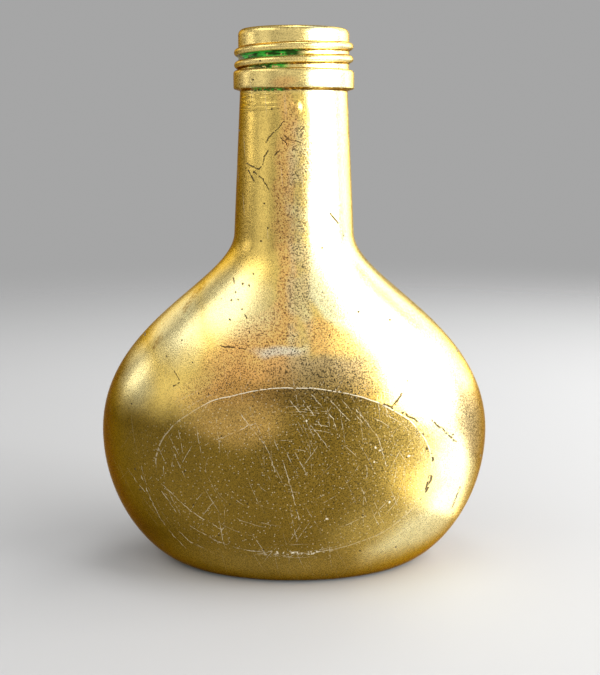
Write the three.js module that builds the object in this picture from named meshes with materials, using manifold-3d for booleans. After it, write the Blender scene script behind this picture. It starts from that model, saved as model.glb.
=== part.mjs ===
// A flattened round wine flask in green glass with a screw finish, gilded with metal leaf.
// Millimetres. +Z is up, the front label panel faces -Y, and the origin is the centre of the
// bearing ring on the underside. The flask is one piece of glass; the leaf is a thin skin round it.

import * as THREE from "three";
import { mergeVertices } from "three/addons/utils/BufferGeometryUtils.js";
import Module from "manifold-3d";

const wasm = await Module();
wasm.setup();

// Driving sizes of the glass body
const bottleHeight = 128.15;
const bodyWidth = 94.8;
const bodyDepth = 56;
const bellyHeight = 32.25;
const baseWidth = 56.4;
const baseDepth = 34.8;
const bearingRingWidth = 3.2;
const pushUp = 3.5;
const bodyWall = 2.3;
const floorThickness = 3.8;

// Label panels, a shallow oval flat on the front and one on the back
const panelWidth = 63.6;
const panelHeight = 39.9;
const panelLevel = 29.8;
const panelInset = 1.5;

// Neck and screw finish, with the levels of the finish counted down from the rim
const neckRootDiameter = 28.4;
const neckTopDiameter = 24.9;
const neckLength = 33.6;
const neckWall = 3;
const boreDiameter = 18.4;
const finishDiameter = 25.5;
const rimFillet = 1.2;
const mouthFillet = 0.8;
const collarDrop = 9.15;
const collarHeight = 4.05;
const collarDiameter = 27.9;
const collarFillet = 0.7;
const collarUndercut = 0.45;

// Thread, one right-handed start; its crest crosses the right side of the finish at this drop
const threadPitch = 2.8;
const threadHeight = 1;
const threadWidth = 1.7;
const threadDrop = 3.75;
const threadRoot = 0.5;
const threadStartTurn = 0.1875;
const threadTurns = 1.8125;
const threadFadeTurn = 0.11;
const threadFadeFloorShare = 0.1;

// Leaf, laid on a film of size over the outside, round the rim and a little way into the mouth
const sizeFilm = 0.05;
const leafThickness = 0.1;
const leafReach = 2.2;
const leafEdgeHeight = 0.6;

// Overrun of every cut, and the distance at which corners count as one
const overrun = 2;
const weldDistance = 0.0005;

// Handles of the outline's two curves, as shares of the overhang and rises that they span
const heelReachShare = 0.36;
const heelRiseShare = 0.583;
const shoulderRiseShare = 0.556;
const rootDropShare = 0.24;

// Crown of the thread's section: height and half-width at each corner, as shares
const threadSectionShares = [[0, -1], [0.82, -0.55], [1, 0], [0.82, 0.55], [0, 1]];

// Faces round each ring, down each side, across the apron round a panel and inside it
const ringSteps = 32;
const shoulderSteps = 12;
const heelSteps = 8;
const apronRows = 6;
const panelRows = 2;
const filletSteps = 3;
const hollowRows = 11;
const domeRows = 2;
const crowdPower = 1.3;
const levelSearchSteps = 40;

// Where the panel's rays turn from the neck ring to the sides and from the sides to the base
const neckRayAngle = THREE.MathUtils.degToRad(55);
const baseRayAngle = THREE.MathUtils.degToRad(50);

// Levels and radii that follow from the driving sizes
const collarTop = bottleHeight - collarDrop;
const collarBottom = collarTop - collarHeight;
const neckRootLevel = collarBottom - neckLength;
const neckRootRadius = neckRootDiameter / 2;
const neckTopRadius = neckTopDiameter / 2;
const finishRadius = finishDiameter / 2;
const collarRadius = collarDiameter / 2;
const boreRadius = boreDiameter / 2;
const neckTaper = (neckRootRadius - neckTopRadius) / neckLength;
const crestLevel = bottleHeight - threadDrop;

// Triangles between two closed loops of points, the second lying up or outward from the first
function band(lower, upper) {
  const faces = [];
  lower.forEach((point, index) => {
    const next = (index + 1) % lower.length;
    faces.push(point, lower[next], upper[next]);
    faces.push(point, upper[next], upper[index]);
  });
  return faces;
}

// Triangles from a closed loop to one point, facing the side where the loop runs anticlockwise
function fan(loop, pole) {
  return loop.flatMap((point, index) => [point, loop[(index + 1) % loop.length], pole]);
}

// Triangles through a stack of loops, without its ends
function sleeve(loops) {
  return loops.slice(1).flatMap((loop, index) => band(loops[index], loop));
}

// Closed stack of loops, from its lower pole to its upper one
function stack(loops, lowerPole, upperPole) {
  const lowest = [...loops[0]].reverse();
  return weld([...fan(lowest, lowerPole), ...sleeve(loops), ...fan(loops.at(-1), upperPole)]);
}

// One mesh whose corners are shared
function weld(faces) {
  return mergeVertices(new THREE.BufferGeometry().setFromPoints(faces), weldDistance);
}

// Each corner moved out along the mean direction of the faces round it
function outset(geometry, distance) {
  const grown = geometry.clone();
  const { position } = grown.attributes;
  const corners = Array.from(grown.index.array);
  const places = Array.from({ length: position.count }, (_, corner) =>
    new THREE.Vector3().fromBufferAttribute(position, corner));
  const directions = places.map(() => new THREE.Vector3());
  for (let start = 0; start < corners.length; start += 3) {
    const face = corners.slice(start, start + 3);
    const facing = new THREE.Vector3();
    THREE.Triangle.getNormal(...face.map((corner) => places[corner]), facing);
    face.forEach((corner) => directions[corner].add(facing));
  }
  places.forEach((place, corner) => {
    place.addScaledVector(directions[corner].normalize(), distance);
    position.setXYZ(corner, place.x, place.y, place.z);
  });
  return grown;
}

function toSolid(geometry) {
  const vertProperties = geometry.attributes.position.array;
  const triVerts = Uint32Array.from(geometry.index.array);
  return new wasm.Manifold(new wasm.Mesh({ numProp: 3, vertProperties, triVerts }));
}

function toGeometry(solid) {
  const { vertProperties, triVerts } = solid.getMesh();
  const geometry = new THREE.BufferGeometry();
  geometry.setAttribute("position", new THREE.BufferAttribute(vertProperties, 3));
  geometry.setIndex(new THREE.BufferAttribute(triVerts, 1));
  geometry.computeVertexNormals();
  return geometry;
}

function middleOf(loop) {
  const sum = loop.reduce((total, point) => total.add(point), new THREE.Vector3());
  return sum.divideScalar(loop.length);
}

function pole(level) {
  return new THREE.Vector3(0, 0, level);
}

// Level ring, anticlockwise from above, starting at +X
function ring(halfWidth, halfDepth, level) {
  return Array.from({ length: ringSteps }, (_, step) => {
    const angle = (step / ringSteps) * 2 * Math.PI;
    return new THREE.Vector3(halfWidth * Math.cos(angle), halfDepth * Math.sin(angle), level);
  });
}

function roundRings(profile) {
  return profile.map(([radius, level]) => ring(radius, radius, level));
}

// Profile points of a rounded corner about its centre, between two angles from level outward
function roundCorner(centreRadius, centreLevel, radius, fromAngle, toAngle) {
  return Array.from({ length: filletSteps + 1 }, (_, step) => {
    const angle = THREE.MathUtils.lerp(fromAngle, toAngle, step / filletSteps);
    return [centreRadius + radius * Math.cos(angle), centreLevel + radius * Math.sin(angle)];
  });
}

// Outline of a flask as one curve in space: x is half its width, y half its depth, z the level.
// It leaves the base level, is upright at the belly and runs into the neck along the neck's taper.
function flaskOutline(base, belly, root) {
  const rise = belly.z - base.z;
  const heelHandle = base.clone().lerp(belly, heelReachShare).setZ(base.z);
  const lowerBelly = belly.clone().setZ(belly.z - rise * heelRiseShare);
  const climb = root.z - belly.z;
  const upperBelly = belly.clone().setZ(belly.z + climb * shoulderRiseShare);
  const drop = climb * rootDropShare;
  const rootHandle = root.clone().add(new THREE.Vector3(neckTaper * drop, neckTaper * drop, -drop));
  const outline = new THREE.CurvePath();
  outline.add(new THREE.CubicBezierCurve3(base, heelHandle, lowerBelly, belly));
  outline.add(new THREE.CubicBezierCurve3(belly, upperBelly, rootHandle, root));
  return outline;
}

const outline = flaskOutline(
  new THREE.Vector3(baseWidth / 2, baseDepth / 2, 0),
  new THREE.Vector3(bodyWidth / 2, bodyDepth / 2, bellyHeight),
  new THREE.Vector3(neckRootRadius, neckRootRadius, neckRootLevel),
);

// Share of the outline's length at which it reaches a level
function shareAtLevel(level) {
  let low = 0;
  let high = 1;
  for (let step = 0; step < levelSearchSteps; step += 1) {
    const middle = (low + high) / 2;
    if (outline.getPoint(middle).z < level) low = middle;
    else high = middle;
  }
  return (low + high) / 2;
}

// Point on the front of the body. The angle runs from 0 at the right side to pi at the left.
function bodyPoint(share, angle) {
  const size = outline.getPoint(share);
  return new THREE.Vector3(size.x * Math.cos(angle), -size.y * Math.sin(angle), size.z);
}

// Oval loop of a label panel, shrunk by a share and sunk the deeper the nearer to its centre
function panelLoop(rayAngles, shrinkShare) {
  return rayAngles.map((ray) => {
    const across = (shrinkShare * panelWidth * Math.cos(ray)) / 2;
    const level = panelLevel + (shrinkShare * panelHeight * Math.sin(ray)) / 2;
    const share = shareAtLevel(level);
    const angle = Math.acos(across / outline.getPoint(share).x);
    const point = bodyPoint(share, angle);
    point.y += panelInset * (1 - shrinkShare * shrinkShare);
    return { point, share, angle };
  });
}

// Steps from 0 towards 1 that crowd together near the end
function crowdedSteps(count) {
  return Array.from({ length: count }, (_, step) => 1 - (1 - step / count) ** crowdPower);
}

// Shares of the outline down a side, from the neck's root by way of the belly to the base. The
// steps are closest where the outline bends most, at the neck's root and the heel.
function sideShares() {
  const bellyShare = shareAtLevel(bellyHeight);
  const shoulder = crowdedSteps(shoulderSteps).map((step) => THREE.MathUtils.lerp(bellyShare, 1, step));
  const heel = crowdedSteps(heelSteps).map((step) => THREE.MathUtils.lerp(bellyShare, 0, step));
  return [1, ...shoulder.reverse(), ...heel.slice(1)];
}

// Border of the body's front, anticlockwise from the front: along the neck's root from the right,
// down the left side, along the base and up the right side
function frontBorder() {
  const halfRing = Array.from({ length: ringSteps / 2 }, (_, step) => (step / ringSteps) * 2 * Math.PI);
  const side = sideShares();
  const neckRoot = halfRing.map((angle) => ({ share: 1, angle }));
  const left = side.map((share) => ({ share, angle: Math.PI }));
  const base = halfRing.map((angle) => ({ share: 0, angle: Math.PI - angle }));
  const right = [0, ...side.slice(1).reverse()].map((share) => ({ share, angle: 0 }));
  return [neckRoot, left, base, right];
}

// Directions from the panel's centre, evenly spread between the corners of the front's border
function panelRays(stretches) {
  const turns = [neckRayAngle, Math.PI - neckRayAngle, Math.PI + baseRayAngle, 2 * Math.PI - baseRayAngle];
  const ends = [...turns.slice(1), 2 * Math.PI + neckRayAngle];
  return stretches.flatMap((stretch, side) => stretch.map((_, step) =>
    THREE.MathUtils.lerp(turns[side], ends[side], step / stretch.length)));
}

// Front half of the body: loops that grow from the panel's centre to its oval crease, and on
// across the apron round it to the neck's root, the sides and the base
function bodyFront() {
  const stretches = frontBorder();
  const border = stretches.flat();
  const rays = panelRays(stretches);
  const panel = Array.from({ length: panelRows }, (_, row) => panelLoop(rays, (row + 1) / panelRows));
  const crease = panel.at(-1);
  const blends = [...crowdedSteps(apronRows).slice(1), 1];
  const apron = blends.map((blend) => border.map((place, index) => bodyPoint(
    THREE.MathUtils.lerp(crease[index].share, place.share, blend),
    THREE.MathUtils.lerp(crease[index].angle, place.angle, blend),
  )));
  const loops = [...panel.map((loop) => loop.map((place) => place.point)), ...apron];
  const centre = panelLoop([0], 0)[0].point;
  return [...fan(loops[0], centre), ...sleeve(loops.reverse())];
}

// The back is the front mirrored, with each face turned round to keep facing out
function mirrored(faces) {
  return faces.map((point) => new THREE.Vector3(point.x, -point.y, point.z)).reverse();
}

// Neck, collar and finish above the body, as a profile of radius and level
function finishProfile() {
  const quarterTurn = Math.PI / 2;
  return [
    [neckRootRadius, neckRootLevel],
    [(neckRootRadius + neckTopRadius) / 2, (neckRootLevel + collarBottom) / 2],
    [neckTopRadius, collarBottom - collarUndercut],
    [collarRadius, collarBottom],
    ...roundCorner(collarRadius - collarFillet, collarTop - collarFillet, collarFillet, 0, quarterTurn),
    [finishRadius, collarTop],
    ...roundCorner(finishRadius - rimFillet, bottleHeight - rimFillet, rimFillet, 0, quarterTurn),
  ];
}

// Mouth from the bore through its rounded lip and out past the rim. Growth is how far the
// surface round it has grown.
function mouthProfile(growth) {
  const lipRadius = boreRadius + mouthFillet;
  const lipLevel = bottleHeight - mouthFillet;
  return [
    ...roundCorner(lipRadius, lipLevel, mouthFillet + growth, Math.PI, Math.PI / 2),
    [lipRadius, bottleHeight + growth + overrun],
  ];
}

// Rings of an oval dome that rises from its edge to its centre, the smallest ring first
function domeRings(halfWidth, halfDepth, level, rise) {
  return Array.from({ length: domeRows }, (_, row) => {
    const share = (row + 1) / domeRows;
    return ring(share * halfWidth, share * halfDepth, level + rise * (1 - share * share));
  });
}

// Whole outside of the flask without its thread, closed over the mouth, on a flat or domed base
function flaskForm(baseRise) {
  const front = bodyFront();
  const neck = roundRings(finishProfile());
  const underside = [
    ...domeRings(baseWidth / 2 - bearingRingWidth, baseDepth / 2 - bearingRingWidth, 0, baseRise),
    ring(baseWidth / 2, baseDepth / 2, 0),
  ];
  return weld([
    ...fan([...underside[0]].reverse(), pole(baseRise)),
    ...sleeve(underside),
    ...front,
    ...mirrored(front),
    ...sleeve(neck),
    ...fan(neck.at(-1), pole(bottleHeight)),
  ]);
}

// Hollow of the flask: floor over the push-up, body, neck, bore and mouth
function hollowForm() {
  const halfWidth = bodyWidth / 2 - bodyWall;
  const halfDepth = bodyDepth / 2 - panelInset - bodyWall;
  const floorWidth = baseWidth / 2 - bodyWall;
  const floorDepth = baseDepth / 2 - bodyWall;
  const inside = flaskOutline(
    new THREE.Vector3(floorWidth, floorDepth, floorThickness),
    new THREE.Vector3(halfWidth, halfDepth, bellyHeight),
    new THREE.Vector3(neckRootRadius - neckWall, neckRootRadius - neckWall, neckRootLevel),
  );
  const body = Array.from({ length: hollowRows }, (_, row) => {
    const size = inside.getPoint((row + 1) / hollowRows);
    return ring(size.x, size.y, size.z);
  });
  const neck = roundRings([
    [neckTopRadius - neckWall, collarBottom],
    [boreRadius, collarTop],
    ...mouthProfile(0),
  ]);
  const floor = domeRings(floorWidth, floorDepth, floorThickness, pushUp);
  const top = pole(bottleHeight + overrun);
  return stack([...floor, ...body, ...neck], pole(floorThickness + pushUp), top);
}

// Thread bead, whose section rises out of the wall at its start and sinks into it at its end
function threadBead(growth) {
  const steps = Math.round(threadTurns * ringSteps);
  const rootRadius = finishRadius - threadRoot;
  const halfWidth = threadWidth / 2 + growth;
  const loops = Array.from({ length: steps + 1 }, (_, step) => {
    const turn = threadStartTurn - (steps - step) / ringSteps;
    const turnsFromEnd = Math.min(step, steps - step) / ringSteps;
    const fade = Math.max(threadFadeFloorShare, Math.min(1, turnsFromEnd / threadFadeTurn));
    const angle = turn * 2 * Math.PI;
    const level = crestLevel + threadPitch * turn;
    const crown = threadSectionShares.map(([heightShare, widthShare]) => [
      rootRadius + fade * (threadRoot + growth + threadHeight * heightShare),
      level + halfWidth * widthShare,
    ]);
    const section = [...crown.reverse(), [rootRadius, level - halfWidth], [rootRadius, level + halfWidth]];
    return section.map(([radius, height]) => new THREE.Vector3(
      radius * Math.cos(angle),
      radius * Math.sin(angle),
      height,
    ));
  });
  return stack(loops, middleOf(loops[0]), middleOf(loops.at(-1)));
}

// Outside of the flask with its thread, grown by a film or leaf, and open into the mouth
function coatedForm(growth, reach) {
  const level = bottleHeight - reach;
  const mouth = roundRings([[boreRadius - growth, level], ...mouthProfile(growth)]);
  const plug = stack(mouth, pole(level), pole(bottleHeight + growth + overrun));
  return toSolid(outset(flaskForm(0), growth))
    .add(toSolid(threadBead(growth)))
    .subtract(toSolid(plug));
}

// Everything below the leaf's lower edge, where the heel turns under
function heelTrim() {
  const box = new THREE.BoxGeometry(bodyWidth + overrun, bodyDepth + overrun, leafEdgeHeight + overrun);
  box.translate(0, 0, (leafEdgeHeight - overrun) / 2);
  box.deleteAttribute("normal");
  box.deleteAttribute("uv");
  return toSolid(mergeVertices(box, weldDistance));
}

function glassBottle() {
  return toSolid(flaskForm(pushUp))
    .add(toSolid(threadBead(0)))
    .subtract(toSolid(hollowForm()));
}

function goldLeaf() {
  return coatedForm(sizeFilm + leafThickness, leafReach)
    .subtract(coatedForm(sizeFilm, leafReach - leafThickness))
    .subtract(heelTrim());
}

function piece(name, solid, look) {
  const mesh = new THREE.Mesh(toGeometry(solid), new THREE.MeshStandardMaterial(look));
  mesh.name = name;
  return mesh;
}

const flask = new THREE.Group();
flask.add(
  piece("glass_bottle", glassBottle(), { color: 0x1c7a3c, roughness: 0.06, metalness: 0 }),
  piece("gold_leaf", goldLeaf(), { color: 0xcfa23a, roughness: 0.28, metalness: 1 }),
);

export default flask;
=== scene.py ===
# A flattened round wine flask in green glass with a screw finish, gilded with metal leaf.
# Sizes are in millimetres, apart from those of the softboxes, which are in metres.

import math
from functools import reduce

import bmesh
import bpy
import numpy as np
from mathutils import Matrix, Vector

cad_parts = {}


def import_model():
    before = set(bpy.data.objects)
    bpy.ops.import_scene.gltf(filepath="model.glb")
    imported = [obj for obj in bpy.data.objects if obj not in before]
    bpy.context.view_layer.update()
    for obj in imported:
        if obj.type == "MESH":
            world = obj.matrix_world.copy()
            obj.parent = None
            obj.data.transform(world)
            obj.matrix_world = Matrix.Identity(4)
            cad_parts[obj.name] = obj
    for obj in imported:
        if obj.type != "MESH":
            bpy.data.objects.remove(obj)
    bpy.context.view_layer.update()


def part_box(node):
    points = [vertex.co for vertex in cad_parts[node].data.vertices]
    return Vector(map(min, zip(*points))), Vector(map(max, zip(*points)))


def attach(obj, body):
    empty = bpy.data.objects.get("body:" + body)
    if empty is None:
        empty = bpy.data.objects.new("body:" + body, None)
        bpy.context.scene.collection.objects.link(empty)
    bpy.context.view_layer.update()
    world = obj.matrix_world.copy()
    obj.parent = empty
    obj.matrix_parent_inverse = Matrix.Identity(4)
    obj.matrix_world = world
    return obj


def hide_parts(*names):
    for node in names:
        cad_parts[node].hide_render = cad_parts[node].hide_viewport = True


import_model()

MM = 0.001

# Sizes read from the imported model
_, glass_high = (np.array(corner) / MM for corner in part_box("glass_bottle"))
leaf_low, leaf_high = (np.array(corner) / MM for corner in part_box("gold_leaf"))
BOTTLE_HEIGHT = glass_high[2]
BODY_WIDTH = 2 * glass_high[0]
LEAF_EDGE_LEVEL = leaf_low[2]
LEAF_GROWTH = leaf_high[0] - glass_high[0]

# Glass body
BODY_DEPTH = 56
BELLY_LEVEL = 32.25
BASE_WIDTH = 56.4
BASE_DEPTH = 34.8
BEARING_RING_WIDTH = 3.2
PUSH_UP = 3.5
BODY_WALL = 2.3
FLOOR_THICKNESS = 3.8

# Oval label panels, front and back, and the fine ridge along their crease
PANEL_WIDTH = 63.6
PANEL_HEIGHT = 39.9
PANEL_LEVEL = 29.8
PANEL_INSET = 1.5
RIDGE_HEIGHT = 0.02
RIDGE_WIDTH_SHARE = 0.007

# Neck and screw finish
NECK_ROOT_DIAMETER = 28.4
NECK_TOP_DIAMETER = 24.9
NECK_LENGTH = 33.6
NECK_WALL = 3
BORE_DIAMETER = 18.4
FINISH_DIAMETER = 25.5
RIM_FILLET = 1.2
MOUTH_FILLET = 0.8
COLLAR_DROP = 9.15
COLLAR_HEIGHT = 4.05
COLLAR_DIAMETER = 27.9
COLLAR_FILLET = 0.7
COLLAR_EDGE_FILLET = 0.3
COLLAR_UNDERCUT = 0.45
FOOT_FILLET = 0.25

# Thread, one right-handed start; its crest crosses the right side of the finish at this drop
THREAD_PITCH = 2.8
THREAD_HEIGHT = 1
THREAD_WIDTH = 1.7
THREAD_DROP = 3.75
THREAD_START_TURN = 0.1875
THREAD_TURNS = 1.8125
THREAD_FADE_TURN = 0.11
THREAD_SOFTNESS = 0.16
THREAD_SOFT_STEPS = 5

# Leaf: shares of its growth at its inner and outer face, how far it goes into the mouth, and the
# waves of its lower edge
LEAF_INNER_SHARE = 0.3
LEAF_OUTER_SHARE = 0.72
LEAF_REACH = 2.2
LEAF_EDGE_WAVE = 0.25
LEAF_EDGE_WAVES = (5, 13)

# Handles of the outline's two curves, as shares of the overhang and rises that they span
HEEL_REACH_SHARE = 0.36
HEEL_RISE_SHARE = 0.583
SHOULDER_RISE_SHARE = 0.556
ROOT_DROP_SHARE = 0.24

# Counts of faces and distances between rows
RING_STEPS = 160
SIDE_STEPS = 80
APRON_ROWS = 26
PANEL_ROWS = 11
HOLLOW_ROWS = 56
DOME_ROWS = 14
OUTLINE_STEPS = 600
CORNER_STEPS = 5
NECK_ROW = 2.2
COLLAR_ROW = 0.8
THREAD_ROW = 0.125
BORE_ROW = 0.9
CROWD_POWER = 1.35
CREASE_SHARES = (0.972, 0.986, 0.993, 1.0, 1.007, 1.014, 1.028)
NECK_RAY_ANGLE = math.radians(55)
BASE_RAY_ANGLE = math.radians(50)
WELD_DISTANCE = 0.001

# Levels and radii that follow
COLLAR_TOP = BOTTLE_HEIGHT - COLLAR_DROP
COLLAR_BOTTOM = COLLAR_TOP - COLLAR_HEIGHT
NECK_ROOT_LEVEL = COLLAR_BOTTOM - NECK_LENGTH
NECK_ROOT_RADIUS = NECK_ROOT_DIAMETER / 2
NECK_TOP_RADIUS = NECK_TOP_DIAMETER / 2
NECK_TAPER = (NECK_ROOT_RADIUS - NECK_TOP_RADIUS) / NECK_LENGTH
FINISH_RADIUS = FINISH_DIAMETER / 2
COLLAR_RADIUS = COLLAR_DIAMETER / 2
BORE_RADIUS = BORE_DIAMETER / 2
CREST_LEVEL = BOTTLE_HEIGHT - THREAD_DROP


def lerp(start, end, share):
    return start + (end - start) * share


class Outline:
    """Half width, half depth and level of a flask's outline, by the share of its length."""

    def __init__(self, base, belly, root):
        base, belly, root = (np.array(point, float) for point in (base, belly, root))
        heel_handle = lerp(base, belly, HEEL_REACH_SHARE)
        heel_handle[2] = base[2]
        rise = np.array([0, 0, belly[2] - base[2]])
        climb = np.array([0, 0, root[2] - belly[2]])
        drop = climb[2] * ROOT_DROP_SHARE
        root_handle = root + np.array([NECK_TAPER * drop, NECK_TAPER * drop, -drop])
        heel = self.curve(base, heel_handle, belly - rise * HEEL_RISE_SHARE, belly)
        shoulder = self.curve(belly, belly + climb * SHOULDER_RISE_SHARE, root_handle, root)
        self.points = np.vstack([heel, shoulder[1:]])
        lengths = np.linalg.norm(np.diff(self.points, axis=0), axis=1)
        along = np.concatenate([[0], np.cumsum(lengths)])
        self.shares = along / along[-1]

    @staticmethod
    def curve(start, first_handle, second_handle, end):
        t = np.linspace(0, 1, OUTLINE_STEPS)[:, None]
        s = 1 - t
        return s**3 * start + 3 * s**2 * t * first_handle + 3 * s * t**2 * second_handle + t**3 * end

    def sizes(self, share):
        return [np.interp(share, self.shares, column) for column in self.points.T]

    def share_at(self, level):
        return np.interp(level, self.points[:, 2], self.shares)


OUTSIDE = Outline(
    (BASE_WIDTH / 2, BASE_DEPTH / 2, 0),
    (BODY_WIDTH / 2, BODY_DEPTH / 2, BELLY_LEVEL),
    (NECK_ROOT_RADIUS, NECK_ROOT_RADIUS, NECK_ROOT_LEVEL),
)
INSIDE = Outline(
    (BASE_WIDTH / 2 - BODY_WALL, BASE_DEPTH / 2 - BODY_WALL, FLOOR_THICKNESS),
    (BODY_WIDTH / 2 - BODY_WALL, BODY_DEPTH / 2 - PANEL_INSET - BODY_WALL, BELLY_LEVEL),
    (NECK_ROOT_RADIUS - NECK_WALL, NECK_ROOT_RADIUS - NECK_WALL, NECK_ROOT_LEVEL),
)


class Skin:
    """Faces gathered patch by patch, and welded at the end."""

    def __init__(self):
        self.points = []
        self.faces = []

    def grid(self, rows):
        """Quads between rows of points that run round to their first point."""
        rows = np.asarray(rows)
        first = len(self.points)
        count = rows.shape[1]
        self.points.extend(rows.reshape(-1, 3))
        for row in range(rows.shape[0] - 1):
            for step in range(count):
                near = first + row * count + step
                far = first + row * count + (step + 1) % count
                self.faces.append((near, far, far + count, near + count))

    def fan(self, loop, centre):
        first = len(self.points)
        self.points.extend(loop)
        self.points.append(centre)
        for step in range(len(loop)):
            self.faces.append((first + step, first + (step + 1) % len(loop), first + len(loop)))

    def welded(self):
        form = bmesh.new()
        corners = [form.verts.new(point) for point in self.points]
        for face in self.faces:
            form.faces.new([corners[index] for index in face])
        bmesh.ops.remove_doubles(form, verts=form.verts, dist=WELD_DISTANCE)
        bmesh.ops.recalc_face_normals(form, faces=form.faces)
        return form


def panel_radius(x, z):
    """0 at a label panel's centre and 1 on its oval crease."""
    return np.hypot(x / (PANEL_WIDTH / 2), (z - PANEL_LEVEL) / (PANEL_HEIGHT / 2))


def body_points(share, angle):
    """Points of the body's front; the angle runs from 0 at the right side to pi at the left."""
    half_width, half_depth, z = OUTSIDE.sizes(share)
    x = half_width * np.cos(angle)
    radius = panel_radius(x, z)
    sunk = PANEL_INSET * np.clip(1 - radius**2, 0, None)
    ridge = RIDGE_HEIGHT * np.exp(-(((radius - 1) / RIDGE_WIDTH_SHARE) ** 2))
    y = -half_depth * np.sin(angle) + sunk - ridge
    return np.stack([x, y, z], axis=-1)


def oval_places(rays, radius):
    """Outline shares and angles of an oval loop, at a radius counted as in panel_radius."""
    x = radius * PANEL_WIDTH / 2 * np.cos(rays)
    z = PANEL_LEVEL + radius * PANEL_HEIGHT / 2 * np.sin(rays)
    share = OUTSIDE.share_at(z)
    return share, np.arccos(x / OUTSIDE.sizes(share)[0])


def crowded(count):
    """Shares from 0 to 1 that crowd together towards 1."""
    return 1 - (1 - np.linspace(0, 1, count + 1)) ** CROWD_POWER


def front_border(edge_share):
    """Places round the body's front, anticlockwise from the neck's right, and the rays to them."""
    half_turn = np.linspace(0, math.pi, RING_STEPS // 2 + 1)[:-1]
    belly_share = OUTSIDE.share_at(BELLY_LEVEL)
    shoulder = lerp(belly_share, 1, crowded(SIDE_STEPS // 2))[::-1]
    heel = lerp(belly_share, 0, crowded(SIDE_STEPS // 2))
    down = np.concatenate([shoulder, heel[1:]])
    stretches = [
        (np.ones_like(half_turn), half_turn),
        (down[:-1], np.full(SIDE_STEPS, math.pi)),
        (np.zeros_like(half_turn), math.pi - half_turn),
        (down[::-1][:-1], np.zeros(SIDE_STEPS)),
    ]
    upper = [NECK_RAY_ANGLE, math.pi - NECK_RAY_ANGLE]
    lower = [math.pi + BASE_RAY_ANGLE, 2 * math.pi - BASE_RAY_ANGLE]
    turns = [*upper, *lower, 2 * math.pi + NECK_RAY_ANGLE]
    rays = [
        np.linspace(turns[side], turns[side + 1], len(share) + 1)[:-1]
        for side, (share, angle) in enumerate(stretches)
    ]
    share, angle = np.hstack(stretches)
    lowest = edge_share(angle)
    share = lowest + share * (1 - lowest)
    return np.array([share, angle]), np.concatenate(rays)


def body_front(edge_share):
    """Loops from the panel's centre outward to the neck's root, the sides and the lower edge."""
    border, rays = front_border(edge_share)
    inner = np.linspace(0, CREASE_SHARES[0], PANEL_ROWS + 1)[1:-1]
    places = [oval_places(rays, radius) for radius in [*inner, *CREASE_SHARES]]
    crease = np.array(places[-1])
    places.extend(lerp(crease, border, blend) for blend in crowded(APRON_ROWS)[1:])
    centre = body_points(*oval_places(np.zeros(1), 0))[0]
    return [body_points(share, angle) for share, angle in places], centre


def rounded_profile(corners):
    """Profile of radius and level through corners of (radius, level, rounding, row distance)."""
    points = [np.array(corners[0][:2], float)]
    for index, (radius, level, rounding, row) in enumerate(corners[1:], start=1):
        corner = np.array([radius, level])
        arc = [corner]
        if rounding:
            before = np.array(corners[index - 1][:2])
            after = np.array(corners[index + 1][:2])
            arc = corner_arc(before, corner, after, rounding)
        run = np.linalg.norm(arc[0] - points[-1])
        rows = max(1, math.ceil(run / row))
        points.extend(lerp(points[-1], arc[0], np.linspace(0, 1, rows + 1)[1:, None]))
        points.extend(arc[1:])
    return np.array(points)


def unit(run):
    return run / np.linalg.norm(run)


def corner_arc(before, corner, after, rounding):
    back = unit(before - corner)
    ahead = unit(after - corner)
    half_angle = math.acos(np.clip(back @ ahead, -1, 1)) / 2
    centre = corner + unit(back + ahead) * rounding / math.sin(half_angle)
    start = corner + back * rounding / math.tan(half_angle) - centre
    end = corner + ahead * rounding / math.tan(half_angle) - centre
    turn = math.pi - 2 * half_angle
    steps = max(2, round(CORNER_STEPS * turn / (math.pi / 2)))
    shares = np.linspace(0, 1, steps + 1)[:, None]
    return centre + (start * np.sin((1 - shares) * turn) + end * np.sin(shares * turn)) / math.sin(turn)


def thread_height(angle, level):
    """How far the thread stands out of the wall, with softened feet."""
    offsets = np.linspace(-THREAD_SOFTNESS, THREAD_SOFTNESS, THREAD_SOFT_STEPS)
    return sum(crest_height(angle, level + offset) / len(offsets) for offset in offsets)


def crest_height(angle, level):
    """Section of the thread, a half ellipse on the wall, which fades out at both ends."""
    height = np.zeros_like(angle + level)
    lowest_turn = THREAD_START_TURN - THREAD_TURNS
    for lap in range(math.floor(lowest_turn) - 1, 1):
        turn = lap + angle / (2 * math.pi)
        from_end = np.minimum(turn - lowest_turn, THREAD_START_TURN - turn)
        fade = np.clip(from_end / THREAD_FADE_TURN, 0, 1)
        fade = fade * fade * (3 - 2 * fade)
        across = (level - CREST_LEVEL - THREAD_PITCH * turn) / (THREAD_WIDTH / 2)
        section = np.sqrt(np.clip(1 - across**2, 0, None))
        height = np.maximum(height, THREAD_HEIGHT * fade * section)
    return height


def ring_angles():
    return np.linspace(0, 2 * math.pi, RING_STEPS + 1)[:-1]


def level_ring(half_width, half_depth, level):
    angle = ring_angles()
    x = half_width * np.cos(angle)
    y = half_depth * np.sin(angle)
    return np.stack([x, y, np.full(RING_STEPS, level)], axis=-1)


def turned(profile):
    """Rings of a profile round the axis, with the thread on the wall of the finish."""
    rings = []
    for radius, level in profile:
        radii = np.full(RING_STEPS, radius)
        if radius > BORE_RADIUS + NECK_WALL / 2:
            height = thread_height(ring_angles(), level)
            radii = np.maximum(radii, np.where(height > 0, FINISH_RADIUS + height, 0))
        rings.append(level_ring(radii, radii, level))
    return rings


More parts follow.
